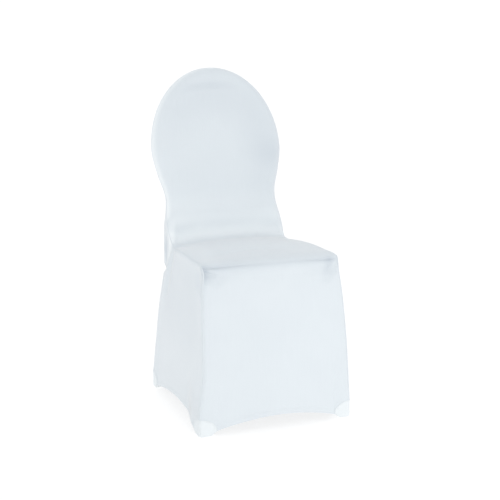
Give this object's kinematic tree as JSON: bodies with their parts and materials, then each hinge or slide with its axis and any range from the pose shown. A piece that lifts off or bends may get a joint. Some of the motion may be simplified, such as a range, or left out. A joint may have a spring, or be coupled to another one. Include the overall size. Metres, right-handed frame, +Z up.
{
  "type": "stretch chair cover",
  "caption": "White stretch cover for a round-backed chair: padded round back, seat and tapered skirt in thin cloth, arched hems and a foot pocket at each corner.",
  "frame": {"origin": "on the floor, under the middle of the cover's box", "axes": "+Z up, +X to the right as seen from the front, the front faces -Y"},
  "size_m": [0.4416, 0.5434, 0.9561],
  "materials": {
    "stretch_cloth": "matte stretch knit",
    "pocket_cloth": "matte doubled stretch knit"
  },
  "bodies": {
    "root": {"front_panel": "stretch_cloth", "rear_panel": "stretch_cloth", "side_panel_left": "stretch_cloth", "side_panel_right": "stretch_cloth", "foot_pocket_front_left": "pocket_cloth", "foot_pocket_front_right": "pocket_cloth", "foot_pocket_rear_left": "pocket_cloth", "foot_pocket_rear_right": "pocket_cloth"}
  },
  "joints": []
}
